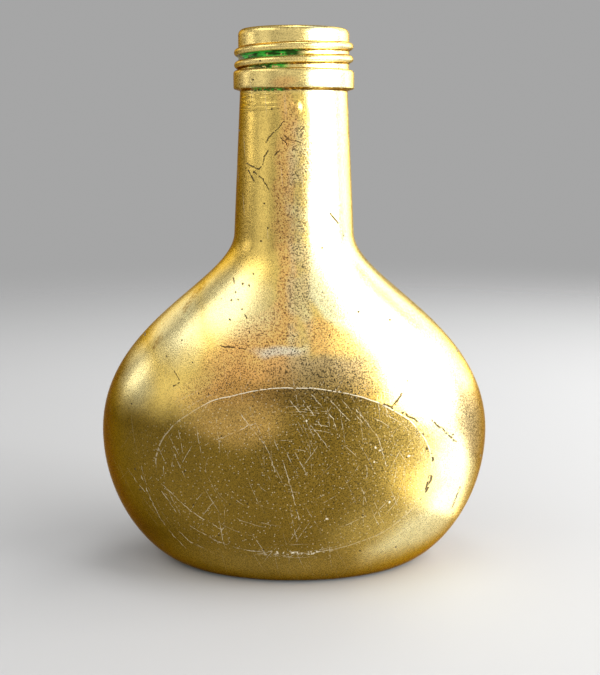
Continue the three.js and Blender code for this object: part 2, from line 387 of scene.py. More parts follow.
def outer_skin(edge_share):
    """Outside of the glass from an edge near the base, over the rim and down into the mouth."""
    skin = Skin()
    loops, centre = body_front(edge_share)
    flip = np.array([1, -1, 1])
    for side in (np.ones(3), flip):
        skin.fan(loops[0] * side, centre * side)
        skin.grid([loop * side for loop in loops])
    skin.grid(turned(rounded_profile([
        (NECK_ROOT_RADIUS, NECK_ROOT_LEVEL, 0, NECK_ROW),
        (NECK_TOP_RADIUS, COLLAR_BOTTOM - COLLAR_UNDERCUT, COLLAR_EDGE_FILLET, NECK_ROW),
        (COLLAR_RADIUS, COLLAR_BOTTOM, COLLAR_EDGE_FILLET, COLLAR_ROW),
        (COLLAR_RADIUS, COLLAR_TOP, COLLAR_FILLET, COLLAR_ROW),
        (FINISH_RADIUS, COLLAR_TOP, FOOT_FILLET, THREAD_ROW),
        (FINISH_RADIUS, BOTTLE_HEIGHT, RIM_FILLET, THREAD_ROW),
        (BORE_RADIUS, BOTTLE_HEIGHT, MOUTH_FILLET, COLLAR_ROW),
        (BORE_RADIUS, BOTTLE_HEIGHT - LEAF_REACH, 0, BORE_ROW),
    ])))
    return skin


def leaf_edge(angle):
    """Outline share of the leaf's lower edge, which wavers a little, as laid by hand."""
    long_waves, short_waves = LEAF_EDGE_WAVES
    wave = (np.sin(long_waves * angle) + np.sin(short_waves * angle + 1) + 2) / 4
    return OUTSIDE.share_at(LEAF_EDGE_LEVEL + LEAF_EDGE_WAVE * wave)


def layered(form, inner, outer):
    """Closed sheet between two distances out from a welded open skin."""
    form.normal_update()
    corners = [(corner.co.copy(), corner.normal.copy()) for corner in form.verts]
    form.verts.index_update()
    faces = [[corner.index for corner in face.verts] for face in form.faces]
    borders = [
        (edge.link_loops[0].vert.index, edge.link_loops[0].link_loop_next.vert.index)
        for edge in form.edges
        if edge.is_boundary
    ]
    sheet = bmesh.new()
    outside = [sheet.verts.new(place + facing * outer) for place, facing in corners]
    inside = [sheet.verts.new(place + facing * inner) for place, facing in corners]
    for face in faces:
        sheet.faces.new([outside[index] for index in face])
        sheet.faces.new([inside[index] for index in reversed(face)])
    for start, end in borders:
        sheet.faces.new([outside[end], outside[start], inside[start], inside[end]])
    form.free()
    return sheet


def placed(name, data):
    thing = bpy.data.objects.new(name, data)
    bpy.context.scene.collection.objects.link(thing)
    return thing


def to_object(name, form, *materials):
    """Smooth object with a mesh in metres, made from a form in millimetres."""
    bmesh.ops.scale(form, vec=(MM, MM, MM), verts=form.verts)
    mesh = bpy.data.meshes.new(name)
    form.to_mesh(mesh)
    form.free()
    mesh.shade_smooth()
    for material in materials:
        mesh.materials.append(material)
    return placed(name, mesh)


def leaf_skin(body_material, neck_material):
    skin = outer_skin(leaf_edge).welded()
    sheet = layered(skin, LEAF_GROWTH * LEAF_INNER_SHARE, LEAF_GROWTH * LEAF_OUTER_SHARE)
    for face in sheet.faces:
        face.material_index = int(face.calc_center_median().z > NECK_ROOT_LEVEL)
    return to_object("leaf_skin", sheet, body_material, neck_material)


def dome_rings(half_width, half_depth, level, rise):
    """Rings of an oval dome, from its edge to near its centre."""
    shares = np.linspace(1, 0, DOME_ROWS + 1)[:-1]
    return [level_ring(half_width * s, half_depth * s, level + rise * (1 - s * s)) for s in shares]


def glass_flask(material):
    skin = outer_skin(np.zeros_like)
    base_ring = level_ring(BASE_WIDTH / 2, BASE_DEPTH / 2, 0)
    inner_width = BASE_WIDTH / 2 - BEARING_RING_WIDTH
    inner_depth = BASE_DEPTH / 2 - BEARING_RING_WIDTH
    push_up = dome_rings(inner_width, inner_depth, 0, PUSH_UP)
    skin.grid([base_ring, *push_up])
    skin.fan(push_up[-1], np.array([0, 0, PUSH_UP]))
    neck = turned(rounded_profile([
        (BORE_RADIUS, BOTTLE_HEIGHT - LEAF_REACH, 0, BORE_ROW),
        (BORE_RADIUS, COLLAR_TOP, 0, BORE_ROW),
        (NECK_TOP_RADIUS - NECK_WALL, COLLAR_BOTTOM, 0, BORE_ROW),
        (NECK_ROOT_RADIUS - NECK_WALL, NECK_ROOT_LEVEL, 0, NECK_ROW),
    ]))
    hollow = [level_ring(*INSIDE.sizes(share)) for share in np.linspace(1, 0, HOLLOW_ROWS + 1)]
    floor_rings = dome_rings(*INSIDE.sizes(0), PUSH_UP)
    skin.grid([*neck, *hollow[1:], *floor_rings[1:]])
    skin.fan(floor_rings[-1], np.array([0, 0, FLOOR_THICKNESS + PUSH_UP]))
    return to_object("glass_flask", skin.welded(), material)


# Sockets of the node that mixes colours
MIX_SHARE, MIX_FIRST, MIX_SECOND, MIX_COLOR = 0, 6, 7, 2

# Middle of what a noise gives, and how hard the edges of patches and of dots are
NOISE_MIDDLE = 0.5
PATCH_HARDNESS = 0.25
DOT_HARDNESS = 0.4


class Field:
    """A number at each point of a surface, worked out by shader nodes."""

    def __init__(self, canvas, socket):
        self.canvas = canvas
        self.socket = socket

    def combined(self, operation, *others):
        values = dict(enumerate((self, *others)))
        return self.canvas.field("ShaderNodeMath", "Value", values, operation=operation)

    def __add__(self, other):
        return self.combined("ADD", other)

    def __sub__(self, other):
        return self.combined("SUBTRACT", other)

    def __mul__(self, other):
        return self.combined("MULTIPLY", other)

    def over(self, other):
        return self.combined("MAXIMUM", other)

    def inverse(self):
        return self.between(1, 0)

    def between(self, low, high):
        """Low where the number is 0, and high where it is 1."""
        return self * (high - low) + low

    def clamped(self):
        return self.combined("MAXIMUM", 0).combined("MINIMUM", 1)

    def near(self, middle, half_width):
        """1 near a middle value, and 0 half a width or more away from it."""
        return (self - middle).combined("ABSOLUTE").step(half_width, half_width / 2)

    def step(self, start, end):
        """Rises smoothly from 0 at start to 1 at end, whichever is the larger."""
        settings = {"interpolation_type": "SMOOTHSTEP", "clamp": False}
        values = {"Value": self, "From Min": start, "From Max": end}
        return self.canvas.field("ShaderNodeMapRange", "Result", values, **settings)

    def within(self, start, full, fading, end):
        """Rises from 0 at start to 1 at full, and falls from 1 at fading to 0 at end."""
        return self.step(start, full) * self.step(end, fading)


class Canvas:
    """One material, with fields over the surface in millimetres."""

    def __init__(self, name):
        self.material = bpy.data.materials.new(name)
        self.material.use_nodes = True
        self.tree = self.material.node_tree
        self.shader = self.tree.nodes["Principled BSDF"]
        self.place = self.scaled(self.socket("ShaderNodeTexCoord", "Object", {}), (1 / MM,) * 3)
        self.x, self.y, self.z = self.parts(self.place)

    def plug(self, value, slot):
        if isinstance(value, Field):
            value = value.socket
        if isinstance(value, bpy.types.NodeSocket):
            self.tree.links.new(value, slot)
        else:
            slot.default_value = value

    def socket(self, kind, output, values, **settings):
        """Output of a new node, whose inputs take fields, sockets or constants."""
        node = self.tree.nodes.new(kind)
        for name, setting in settings.items():
            setattr(node, name, setting)
        for name, value in values.items():
            self.plug(value, node.inputs[name])
        return node.outputs[output]

    def field(self, kind, output, values, **settings):
        return Field(self, self.socket(kind, output, values, **settings))

    def vector(self, operation, *values):
        return self.socket("ShaderNodeVectorMath", "Vector", dict(enumerate(values)), operation=operation)

    def measure(self, operation, *values):
        """Number that vectors give, such as a length."""
        return self.field("ShaderNodeVectorMath", "Value", dict(enumerate(values)), operation=operation)

    def scaled(self, place, stretch):
        return self.vector("MULTIPLY", place, stretch)

    def parts(self, value, kind="ShaderNodeSeparateXYZ"):
        """The three numbers of a place or a colour."""
        node = self.tree.nodes.new(kind)
        self.plug(value, node.inputs[0])
        return [Field(self, socket) for socket in node.outputs]

    def joined(self, x, y, z):
        return self.socket("ShaderNodeCombineXYZ", "Vector", {"X": x, "Y": y, "Z": z})

    def noise(self, size, detail=2, stretch=(1, 1, 1), roughness=0.5):
        """Soft noise round its middle, with features about as large as size."""
        place = self.scaled(self.place, stretch)
        values = {"Vector": place, "Scale": 1 / size, "Detail": detail, "Roughness": roughness}
        return self.field("ShaderNodeTexNoise", "Fac", values)

    def shifted(self, amount, size):
        """The place, moved about by noise, so that what is drawn with it wavers."""
        color = self.socket("ShaderNodeTexNoise", "Color", {"Vector": self.place, "Scale": 1 / size})
        offset = self.joined(*self.parts(color, "ShaderNodeSeparateColor"))
        centred = self.vector("SUBTRACT", offset, (NOISE_MIDDLE,) * 3)
        return self.vector("ADD", self.place, self.scaled(centred, (2 * amount,) * 3))

    def blend(self, share, first, second, **settings):
        first, second = ((*color, 1) if isinstance(color, tuple) else color for color in (first, second))
        values = {MIX_SHARE: share, MIX_FIRST: first, MIX_SECOND: second}
        return self.socket("ShaderNodeMix", MIX_COLOR, values, data_type="RGBA", **settings)

    def shaded(self, color, level):
        """Colour made darker or lighter by a field."""
        grey = self.socket("ShaderNodeCombineColor", "Color", dict.fromkeys(range(3), level))
        return self.blend(1.0, color, grey, blend_type="MULTIPLY")

    def bump(self, height, distance, normal=None):
        """Normal of a surface raised by a field, up to a distance in millimetres."""
        values = {"Height": height, "Distance": distance * MM}
        if normal:
            values["Normal"] = normal
        return self.socket("ShaderNodeBump", "Normal", values)

    def spot(self, place, x, z, half_width, half_height, hardness):
        """1 in the middle of an upright oval on the front or back, and 0 at its edge."""
        across = self.vector("SUBTRACT", place, (x, 0, z))
        shares = self.scaled(across, (1 / half_width, 0, 1 / half_height))
        return self.measure("LENGTH", shares).step(1, hardness)

    def oval(self, place):
        """Radius and turn of a place round the label panels, with 1 as the crease's radius."""
        x, _, z = self.parts(place)
        across = x * (2 / PANEL_WIDTH)
        up = (z - PANEL_LEVEL) * (2 / PANEL_HEIGHT)
        return self.measure("LENGTH", self.joined(across, 0, up)), up.combined("ARCTAN2", across)

    def slanted(self, place, angle):
        """A place, turned about the axis from front to back."""
        values = {"Vector": place, "Angle": math.radians(angle)}
        return self.socket("ShaderNodeVectorRotate", "Vector", values, rotation_type="Y_AXIS")

    def stroke(self, flat, start, end, width):
        """1 along a straight line between two (x, z) places, and 0 beside it."""
        start, end = (np.array([x, 0, z], float) for x, z in (start, end))
        run = end - start
        across = self.vector("SUBTRACT", flat, tuple(start))
        share = self.measure("DOT_PRODUCT", across, tuple(run / (run @ run))).clamped()
        nearest = self.scaled(self.joined(share, share, share), tuple(run))
        return self.measure("DISTANCE", across, nearest).step(width / 2, width / 4)

    def finish(self, look):
        for name, value in look.items():
            self.plug(value, self.shader.inputs[name])
        return self.material


# Leaf colours, as shares of the light that they mirror
GOLD = (0.83, 0.59, 0.15)
# Copper: a painted warm reflection
COPPER = (0.97, 0.5, 0.15)
# Grey: a painted dark reflection
GREY = (0.74, 0.58, 0.29)
# Olive: a painted dark reflection
OLIVE = (0.195, 0.115, 0.011)
# Dusk: a painted dark reflection
DUSK = (0.42, 0.3, 0.14)
# Brown: painted shade on the sides, the neck's left and the foot, and the colour of the smears
BROWN = (0.3, 0.13, 0.006)
# Pale: the colour of painted highlights
PALE = (0.96, 0.88, 0.5)
# Pale of wear, and of the painted glint and the crease's painted highlight
WEAR_AND_GLINT = (0.82, 0.75, 0.58)
BROKEN = (0.03, 0.022, 0.01)
# Dark brown of painted shade under the thread and the collar
PAINTED_SHADE = (0.09, 0.045, 0.01)
GLASS_DARK = (0.002, 0.05, 0.006)
GLASS_GREEN = (0.03, 0.52, 0.05)
LEAF_LOOK = {
    "Specular Tint": (0.7, 0.42, 0.12, 1),
    "Coat Weight": 0.03,
    "Coat Roughness": 0.1,
    "Coat IOR": 1.5,
}

# How strongly each colour covers what is under it
PALE_SHARE = 0.8
COPPER_SHARE = 0.9
GREY_SHARE = 0.7
FLANK_SHARE = 0.5
BROWN_SHARE = 0.85
DUSK_SHARE = 0.9
EDGE_SHARE = 0.8
SMEAR_SHARE = 0.6
WARM_SHARE = 0.3
WEAR_AND_GLINT_SHARE = 0.9
BROKEN_SHARE = 0.92

# How strongly the grain shows on colours other than grey
COPPER_GRAIN_SHARE = 0.8
FLANK_GRAIN_SHARE = 0.7
BROWN_GRAIN_SHARE = 0.9
EDGE_GRAIN_SHARE = 0.7

# Below, two numbers say where a change starts and where it is full, or a middle and a half width.
# Four say where a band starts, is full from and to, and ends. A corner has two numbers across and
# two up.

# Wavering of what is drawn: how far, and how large its noise is
WAVER = (2.5, 9)
FRAY = (0.35, 1.1)
CREASE_WAVER = (0.5, 7)
HAIR_BEND = (1.8, 16)

# Noises of the leaf
FINE_SIZE = 0.7
PATCH_SIZE = 5
MOTTLE_SIZE = 13
BLOTCH_SIZE = 1.1
GRAIN_SIZE = 0.32
GRAIN_FINENESS = 0.7
WAVE_SIZE = 14

# Front of the flask, sharply for marks and softly for colours
FRONT_EDGE = (1, -1)
FACING_EDGE = (9, -4)

# Half width of the band of painted copper and dusky reflections on the neck, and what it gains between lower
# levels
NECK_SPREAD = 3.4
SPREAD_GAINS = (((70, 54), 14), ((54, 34), 13), ((24, 6), -16))

# Painted copper, grey and dusky reflections and the painted highlight across that band, as shares of its
# half width, and up the flask
LEFT_COPPER_SHARES = (-1.4, -0.8, -0.15, 0.25)
RIGHT_COPPER_SHARES = (0.15, 0.4, 0.8, 1.15)
RIGHT_COPPER_LEVEL = (60.5, 5)
RIGHT_COPPER_SHARE = 0.8
COPPER_LEVELS = (43, 50, 104, 120)
STEM = (1.4, 3.6)
STEM_LEVELS = (50, 58, 103, 110)
STEM_PATCH_SHARES = (0.34, 0.54)
STEM_LEAST_SHARE = 0.25
DUSK_SHARES = (-0.6, 0.3, 0.8, 1.15)
DUSK_LEVEL = (51.5, 6.5)
PALE_SHARES = (0.8, 1.3)
PALE_LEVELS = (3, 12)

# Brown painted shade: corners at the neck's left, and at the right side where it thins out, then both sides
# and the foot
FLANK = (-8, -13, 70, 84)
RIGHT_SIDE = (0, 20, 30, 48)
SIDE_DEPTHS = (15, 3)
SIDE_LEVELS = (66, 46)
RIGHT_SIDE_SHARE = 0.2
FOOT_LEVELS = (5, 0)
FOOT_SHARE = 0.4
UNEVEN_SHARES = (-0.05, 1.55)

# Tone and relief of the leaf
GRAIN_SHARES = (0.34, 0.55)
GRAIN_MEAN_SHARE = 0.75
GRAIN_CONTRAST_SHARES = (0.38, 1.33)
MOTTLE_SHARES = (0.775, 1.225)
BLOTCH_SHARES = (0.825, 1.175)
GRAIN_ROUGHNESS = (0.16, 0.36)
WEAR_AND_GLINT_ROUGHNESS = 0.25
WEAR_AND_GLINT_DULL_SHARE = 0.75
WAVE_DEPTH = 0.35
RELIEF_DEPTH = 0.25
GRAIN_DEPTH = 0.035
BREAK_SINK_SHARE = 0.4

# Streaks in the bare glass
STREAK_SIZE = 1.2
STREAK_STRETCH = (0.4, 0.4, 1.6)
STREAK_SHARES = (0.45, 0.62)
GLASS_SMOOTHNESS = 0.2

# Soft patches on the body: x, z, half width, half height and strength. The glint and the pale patches are
# painted highlights, the warm patch a painted warm reflection, the lower right patch thins the painted olive
# reflection, and the rubbed patch strengthens the grain
PAINTED_GLINT = (-3.5, 57.3, 8, 2, 0.7)
PAINTED_HIGHLIGHTS = ((-14, 67, 13, 10, 0.6), (-37, 49, 7, 10, 0.6), (-28, 63, 10, 13, 0.7))
LOWER_RIGHT = (19, 14, 16, 10, 0.3)
WARM_REFLECTION_PATCH = (-13, 43, 16, 9, 1)
RUBBED_PATCH = (8, 36, 32, 24, 0.5)

# Olive painted dark reflection on the lower body, which rises to the left and thins out to the right and the
# foot
OLIVE_LEVELS = (56, 46)
OLIVE_RISE = 8
OLIVE_RISE_PLACES = (-12, -26)
OLIVE_RIGHT = (8, 32)
OLIVE_FOOT_LEVELS = (13, 4)
OLIVE_ON_PALE_SHARE = 0.15
OLIVE_RIGHT_SHARE = 0.6
OLIVE_FOOT_SHARE = 0.7
OLIVE_SHARE = 0.94
OLIVE_ON_WARM_SHARE = 0.564

# Painted dark reflection on the right shoulder's edge, along a slanting line
EDGE_SLOPE = 0.48
EDGE_BAND = (54.5, 58)
EDGE_LEVELS = (48, 43)

# Smears on the left shoulder
SMEAR_WIDTH = 1.5
SMEAR_BREAK_SHARES = (0.3, 0.7)
SMEAR_DEPTHS = (-2, -7)

# Crease of the panel, painted pale as a highlight: corners at its top and its foot and, faintly, its upper
# part
CREASE_WIDTH_SHARE = 0.006
CREASE_BREAK_SHARES = (0.36, 0.46)
CREASE_TOP = (-26, -16, 30, 36)
CREASE_FOOT = (-4, 4, 22, 18)
CREASE_FOOT_SHARE = 0.35
CREASE_FAINT_LEVELS = (28, 32)
CREASE_FAINT_SHARE = 0.45

# Scuffs at the panel's foot: x, z, half width, half height and hardness of their patch
SCUFF_PATCH = (1, 10, 11, 4, 0.2)
SCUFF_WIDTH_SHARE = 0.03
SCUFF_BREAK_SHARES = (0.54, 0.6)

# Hairlines round the panel: spacing, length and width, and where they show
OVAL_HAIRS = (1.1, 9, 0.14)
OVAL_HAIR_REACH = 26
OVAL_HAIR_TURN = 20
OVAL_HAIR_SHARES = (1.35, 1.2)
HAIR_BREAK_SHARES = (0.4, 0.5)
HAIR_PATCH_SHARES = (0.36, 0.56)
HAIR_FIELD_SHARES = (1.35, 0.95)
HAIR_DENSITY_SHARES = (0.12, 0.67)
HAIR_BACK_SHARE = 0.6

# Fine scratches across the body: angle, spacing, length and width
HAIRLINES = ((26, 1.1, 10, 0.13), (-34, 1.4, 8, 0.13), (7, 1.2, 12, 0.13))

# Scratches, and dust that catches the light
SCRATCH_WIDTH = 0.17
SCRATCH_NOISE_SIZE = 2.2
SCRATCH_BREAK_SHARES = (0.36, 0.56)
SCRATCH_STRENGTH_SHARES = (0.3, 0.8)
SPECK_RADIUS = 0.34
DUST = (1.2, 0.17, 0.08)
DUST_FIELD_SHARES = (1.3, 0.9)
DUST_BREAK_SHARES = (0.4, 0.6)
DUST_SHARE = 0.6

# Chips along the crease, cracks and pinholes
CHIP_LINE_SHARES = (1.01, 0.011)
CHIP_SIZE = 1.8
CHIP_BREAK_SHARES = (0.54, 0.58)
CHIP_CORNER = (16, 22, 14, 20)
CRACK_WIDTH = 0.3
BOLD_CRACK_WIDTH = 0.56
BOLD_BREAK_SHARES = (0.42, 0.5)
CRACK_BREAK_SHARES = (0.3, 0.42)
BODY_HOLES = (9, 0.3, 0.16)
BODY_HOLE_PATCH_SHARES = (0.45, 0.55)
PINHOLE_RADIUS = 0.26
BODY_RELIEF_SHARE = 0.1
BACK_SHIFT = 50

# Neck: painted highlight on the finish, painted copper reflection on the collar, painted shade in the thread
# and under the collar
FINISH_LEVELS = (113, 115)
FINISH_HIGHLIGHT_SHARE = 0.25
COLLAR_REFLECTION = (-2, 116, 5, 2, 0.6)
THREADED_LEVELS = (118.9, 119.3, 124, 124.6)
SHADE_LINE_SHARES = (0.33, 0.1)
SHADE_DROP = 0.35
SHADE_HEIGHT = 0.5
SHADE_BREAK_SHARES = (0.3, 0.5)
PAINTED_SHADE_SHARE = 0.8

# Neck: hairlines, cracks and pinholes
NECK_HAIR_ANGLE = 4
NECK_HAIRS = (1.3, 7, 0.13)
NECK_HAIR_SHARE = 0.4
NECK_CRACK_WIDTH = 0.36
BOLD_NECK_CRACK_WIDTH = 0.6
NECK_HOLES = (8, 0.28, 0.16)
NECK_HOLE_PLACES = (2, -2)

# Neck: fine folds under the collar and a blister, whose last number is its hardness
FOLD_SIZE = 0.55
FOLD_STRETCH = (0.1, 0.1, 1)
FOLD_BREAK_SHARES = (0.42, 0.6)
FOLD_LEVEL = (112, 2.6)
FOLD_PLACES = (-2, -6)
FOLD_SHARE = 0.45
BLISTER = (0.6, 110.6, 1.5, 1.9, 0.2)
BLISTER_SHARE = 1.6

# Bare glass: band across, level, and where in the thread's groove as shares of its pitch
UPPER_GAP = ((-14, -11, 0.5, 3.5), (121.9, 1.7), (0.48, 0.32))
LOWER_GAP = ((-11, -7, -3, 0), (119.9, 1.3), (0.5, 0.26))
COLLAR_GAP = ((-10, -8, -3, -0.5), (114.5, 0.5))
GAP_NOISE_SIZE = 1.1
UPPER_GAP_BREAK_SHARES = (0.26, 0.34)
LOWER_GAP_BREAK_SHARES = (0.4, 0.48)

# Marks on the front, as (x, z) places
NECK_CRACKS = (
    ((-2.1, 107.6), (-3.9, 105.6), (-5.5, 104.1), (-6.2, 102.9)),
    ((-1.9, 104.3), (-0.7, 103.4), (1.3, 103)), ((2.4, 106.3), (1.3, 105.4)),
    ((-2.8, 101.4), (-4.4, 99.8)), ((-5.7, 101.2), (-6.6, 99.6), (-6.9, 98)),
    ((-10.7, 98), (-7.8, 96.9), (-7.3, 97.4)), ((-9.1, 96.3), (-6.9, 94.7), (-5.7, 92.5)),
    ((-10.3, 96.5), (-9.1, 94)), ((-2.8, 103.9), (-1.4, 102.2)),
)
BOLD_NECK_CRACKS = (((8.4, 86.9), (10.2, 84.6)), ((11.5, 81.6), (11.9, 80.4)))
BODY_CRACKS = (
    ((-13.9, 72.3), (-13.7, 71.1)), ((-11, 64.9), (-10.6, 64.1)), ((-16.4, 58.1), (-13.2, 57.9)),
    ((-12.4, 57.8), (-10.6, 57.8)), ((-27.4, 48.7), (-25.9, 49.5)), ((-27.2, 51.8), (-26, 50.2)),
)
BOLD_CRACKS = (
    ((19.4, 45.7), (20.6, 45.3), (22.2, 44.6)), ((22.2, 44.4), (24, 46.8), (24.9, 48.4)),
    ((24.4, 43.2), (26, 42.2), (28, 40.9)), ((28, 39.4), (29.6, 37.6)),
    ((31.8, 40.5), (36.2, 36.1), (38.1, 34)), ((30.4, 34.6), (30.8, 33)), ((31.4, 27.4), (30.5, 24.2)),
    ((39.6, 22.2), (38.5, 18.9), (37.9, 16.8)),
)
PALE_SCRATCHES = (
    ((-0.9, 47), (3, 42.5), (8.1, 35.4)), ((-4.2, 37.8), (-1.5, 30), (1.4, 18.5)),
    ((-12, 44), (-6, 36), (-3.6, 29)), ((-20, 36), (-9, 41.5)), ((14, 44.5), (19, 38), (21, 31)),
    ((1.2, 48.4), (6.2, 41)), ((4, 48.2), (8.8, 42.6), (10.3, 38.6)), ((7.5, 47.6), (12.6, 42)),
    ((10.5, 47), (16.4, 40.6)), ((-8.4, 9.6), (-3.5, 9.3), (-1, 8.9), (1.2, 9.9), (3.4, 10.1)),
    ((-35.6, 26.5), (-33.4, 20.6), (-31.2, 15.5), (-28, 11.2), (-25.6, 8.6)),
    ((-39.4, 27.5), (-35, 22.5)), ((-30.6, 23.6), (-27.2, 18.8)),
    ((-28, 14.6), (-24.8, 11.2), (-19.4, 8.8)), ((-30.6, 25.6), (-23.8, 19.6), (-16.6, 15.4)),
    ((-24, 15.6), (-17.6, 12), (-11, 10.4), (-3, 9.7)),
)
SMEARS = (((-21.2, 69.9), (-23.6, 67.2), (-25.6, 64.4)), ((-31, 58.4), (-32.6, 56)))
BODY_PINHOLES = (
    (-10.1, 70.9), (-14.2, 67.6), (-12.7, 68), (-11.6, 65.9), (-14.4, 63.6), (-9.2, 73.4), (-13.2, 69.4),
    (-25.7, 58.4), (-29.3, 54.7), (-23, 54.2),
)
BRIGHT_SPECKS = (
    (2.9, 42.4), (18.5, 35.6), (19.4, 34.8), (18.3, 32.3), (26.2, 32.9), (22, 22), (7.6, 18.8),
)


class Gilding(Canvas):
    """Leaf on the glass, with what the body and the neck have in common."""

    def __init__(self, name):
        super().__init__(name)
        self.front = self.y.step(*FRONT_EDGE)
        self.wavering = self.shifted(*WAVER)
        self.frayed = self.shifted(*FRAY)
        self.fine = self.noise(FINE_SIZE)
        self.patch = self.noise(PATCH_SIZE, detail=3)
        x, y, z = self.parts(self.wavering)
        shoulder, belly, heel = (z.step(*levels) * gain for levels, gain in SPREAD_GAINS)
        side = x.combined("DIVIDE", shoulder + belly + heel + NECK_SPREAD)
        self.facing = y.step(*FACING_EDGE)
        # Painted copper reflection down the neck's middle and across the top of the shoulders
        left = side.within(*LEFT_COPPER_SHARES)
        right = side.within(*RIGHT_COPPER_SHARES) * self.z.near(*RIGHT_COPPER_LEVEL)
        self.copper_reflection = left.over(right * RIGHT_COPPER_SHARE) * z.within(*COPPER_LEVELS) * self.facing
        # Painted dark reflection down the middle of the neck
        dark_stem_reflection = x.near(*STEM) * z.within(*STEM_LEVELS)
        dark_stem_reflection = dark_stem_reflection * self.patch.step(*STEM_PATCH_SHARES).between(STEM_LEAST_SHARE, 1)
        # Painted dark reflection across the middle of the shoulders
        self.dusky_reflection = side.within(*DUSK_SHARES) * z.near(*DUSK_LEVEL) * self.facing
        self.dark_stem_reflection = dark_stem_reflection * self.facing
        # Painted highlight down the neck's right and over the right shoulder
        self.painted_highlight = side.step(*PALE_SHARES) * z.step(*PALE_LEVELS) * self.facing
        # Painted shade on the neck's left edge, on both sides, less on the right, and at the foot
        self.flank_shade = self.corner(*FLANK)
        sides = self.y.combined("ABSOLUTE").step(*SIDE_DEPTHS) * self.z.step(*SIDE_LEVELS)
        sides = sides * self.corner(*RIGHT_SIDE).between(1, RIGHT_SIDE_SHARE)
        foot = self.z.step(*FOOT_LEVELS) * FOOT_SHARE
        self.side_and_foot_shade = (sides.over(foot) * self.patch.between(*UNEVEN_SHARES)).clamped()

    def corner(self, x_start, x_full, z_start, z_full):
        """Rises from 0 to 1 across and up."""
        return self.x.step(x_start, x_full) * self.z.step(z_start, z_full)

    def spots(self, *ovals):
        """Patches with ragged soft edges; an oval is x, z, half width, half height and strength."""
        patches = (self.spot(self.wavering, *oval, PATCH_HARDNESS) * strength for *oval, strength in ovals)
        return reduce(Field.over, patches) * self.facing

    def dots(self, places, radius):
        """Ragged dots at (x, z) places."""
        sizes = (radius, radius, DOT_HARDNESS)
        return reduce(Field.over, (self.spot(self.frayed, *place, *sizes) for place in places))

    def marks(self, lines, width):
        """1 along ragged lines through (x, z) places, and 0 beside them."""
        flat = self.scaled(self.frayed, (1, 0, 1))
        ends = (pair for points in lines for pair in zip(points, points[1:]))
        return reduce(Field.over, (self.stroke(flat, *pair, width) for pair in ends))

    def scattered(self, x, z, spacing):
        """Distance to the nearest of scattered points, which differ on the back."""
        values = {"Vector": self.joined(x + self.front * BACK_SHIFT, z, 0), "Scale": 1 / spacing}
        nearest = self.field("ShaderNodeTexVoronoi", "Distance", values, voronoi_dimensions="2D")
        return nearest * spacing

    def sprinkled(self, spacing, edge, core):
        """Scattered dots, from their spacing and their radii at the edge and at the core."""
        return self.scattered(self.x, self.z, spacing).step(edge, core)

    def hairlines(self, place, spacing, length, width):
        """Short fine scratches along the place's upright direction."""
        x, _, z = self.parts(place)
        return self.scattered(x, z * (width / length), spacing).step(width / 2, width / 4)

    def gold(self):
        """Gold, with the painted highlight, reflections and shade that the body and the neck have in common
        over it.
        """
        color = self.blend(self.painted_highlight * PALE_SHARE, GOLD, PALE)
        color = self.blend(self.copper_reflection * COPPER_SHARE, color, COPPER)
        color = self.blend(self.dark_stem_reflection * GREY_SHARE, color, GREY)
        color = self.blend(self.flank_shade * FLANK_SHARE, color, BROWN)
        return self.blend(self.side_and_foot_shade * BROWN_SHARE, color, BROWN)

    def grained(self):
        """Where the grain shows strongly on the body and the neck."""
        bands = self.dark_stem_reflection.over(self.copper_reflection * COPPER_GRAIN_SHARE)
        return bands.over(self.flank_shade * FLANK_GRAIN_SHARE).over(self.side_and_foot_shade * BROWN_GRAIN_SHARE)

    def leaf(self, color, strong, wear_and_glint, broken, green, relief):
        """Finish with grain, strong where the leaf was rubbed, over the wear, the painted highlights and
        breaks.
        """
        mottle = self.noise(MOTTLE_SIZE, detail=4)
        blotches = self.noise(BLOTCH_SIZE)
        grain = self.noise(GRAIN_SIZE, roughness=GRAIN_FINENESS)
        speckle = (grain.step(*GRAIN_SHARES) - GRAIN_MEAN_SHARE) * strong.between(*GRAIN_CONTRAST_SHARES) + 1
        tone = speckle * mottle.between(*MOTTLE_SHARES) * blotches.between(*BLOTCH_SHARES)
        color = self.shaded(color, tone)
        color = self.blend(wear_and_glint * WEAR_AND_GLINT_SHARE, color, WEAR_AND_GLINT)
        color = self.blend(broken * BROKEN_SHARE, color, BROKEN)
        metallic = (wear_and_glint * WEAR_AND_GLINT_DULL_SHARE).over(broken).inverse()
        rough = grain.between(*GRAIN_ROUGHNESS) + wear_and_glint * WEAR_AND_GLINT_ROUGHNESS
        if green:
            streak = self.noise(STREAK_SIZE, stretch=STREAK_STRETCH).step(*STREAK_SHARES)
            color = self.blend(green, color, self.blend(streak, GLASS_DARK, GLASS_GREEN))
            metallic = metallic - green
            rough = rough - green * GLASS_SMOOTHNESS
        waves = self.bump(self.noise(WAVE_SIZE, detail=1), WAVE_DEPTH)
        normal = self.bump(relief - broken * BREAK_SINK_SHARE, RELIEF_DEPTH, waves)
        normal = self.bump(grain, GRAIN_DEPTH, normal)
        look = {"Base Color": color, "Roughness": rough, "Normal": normal, "Metallic": metallic}
        return self.finish(look | LEAF_LOOK)


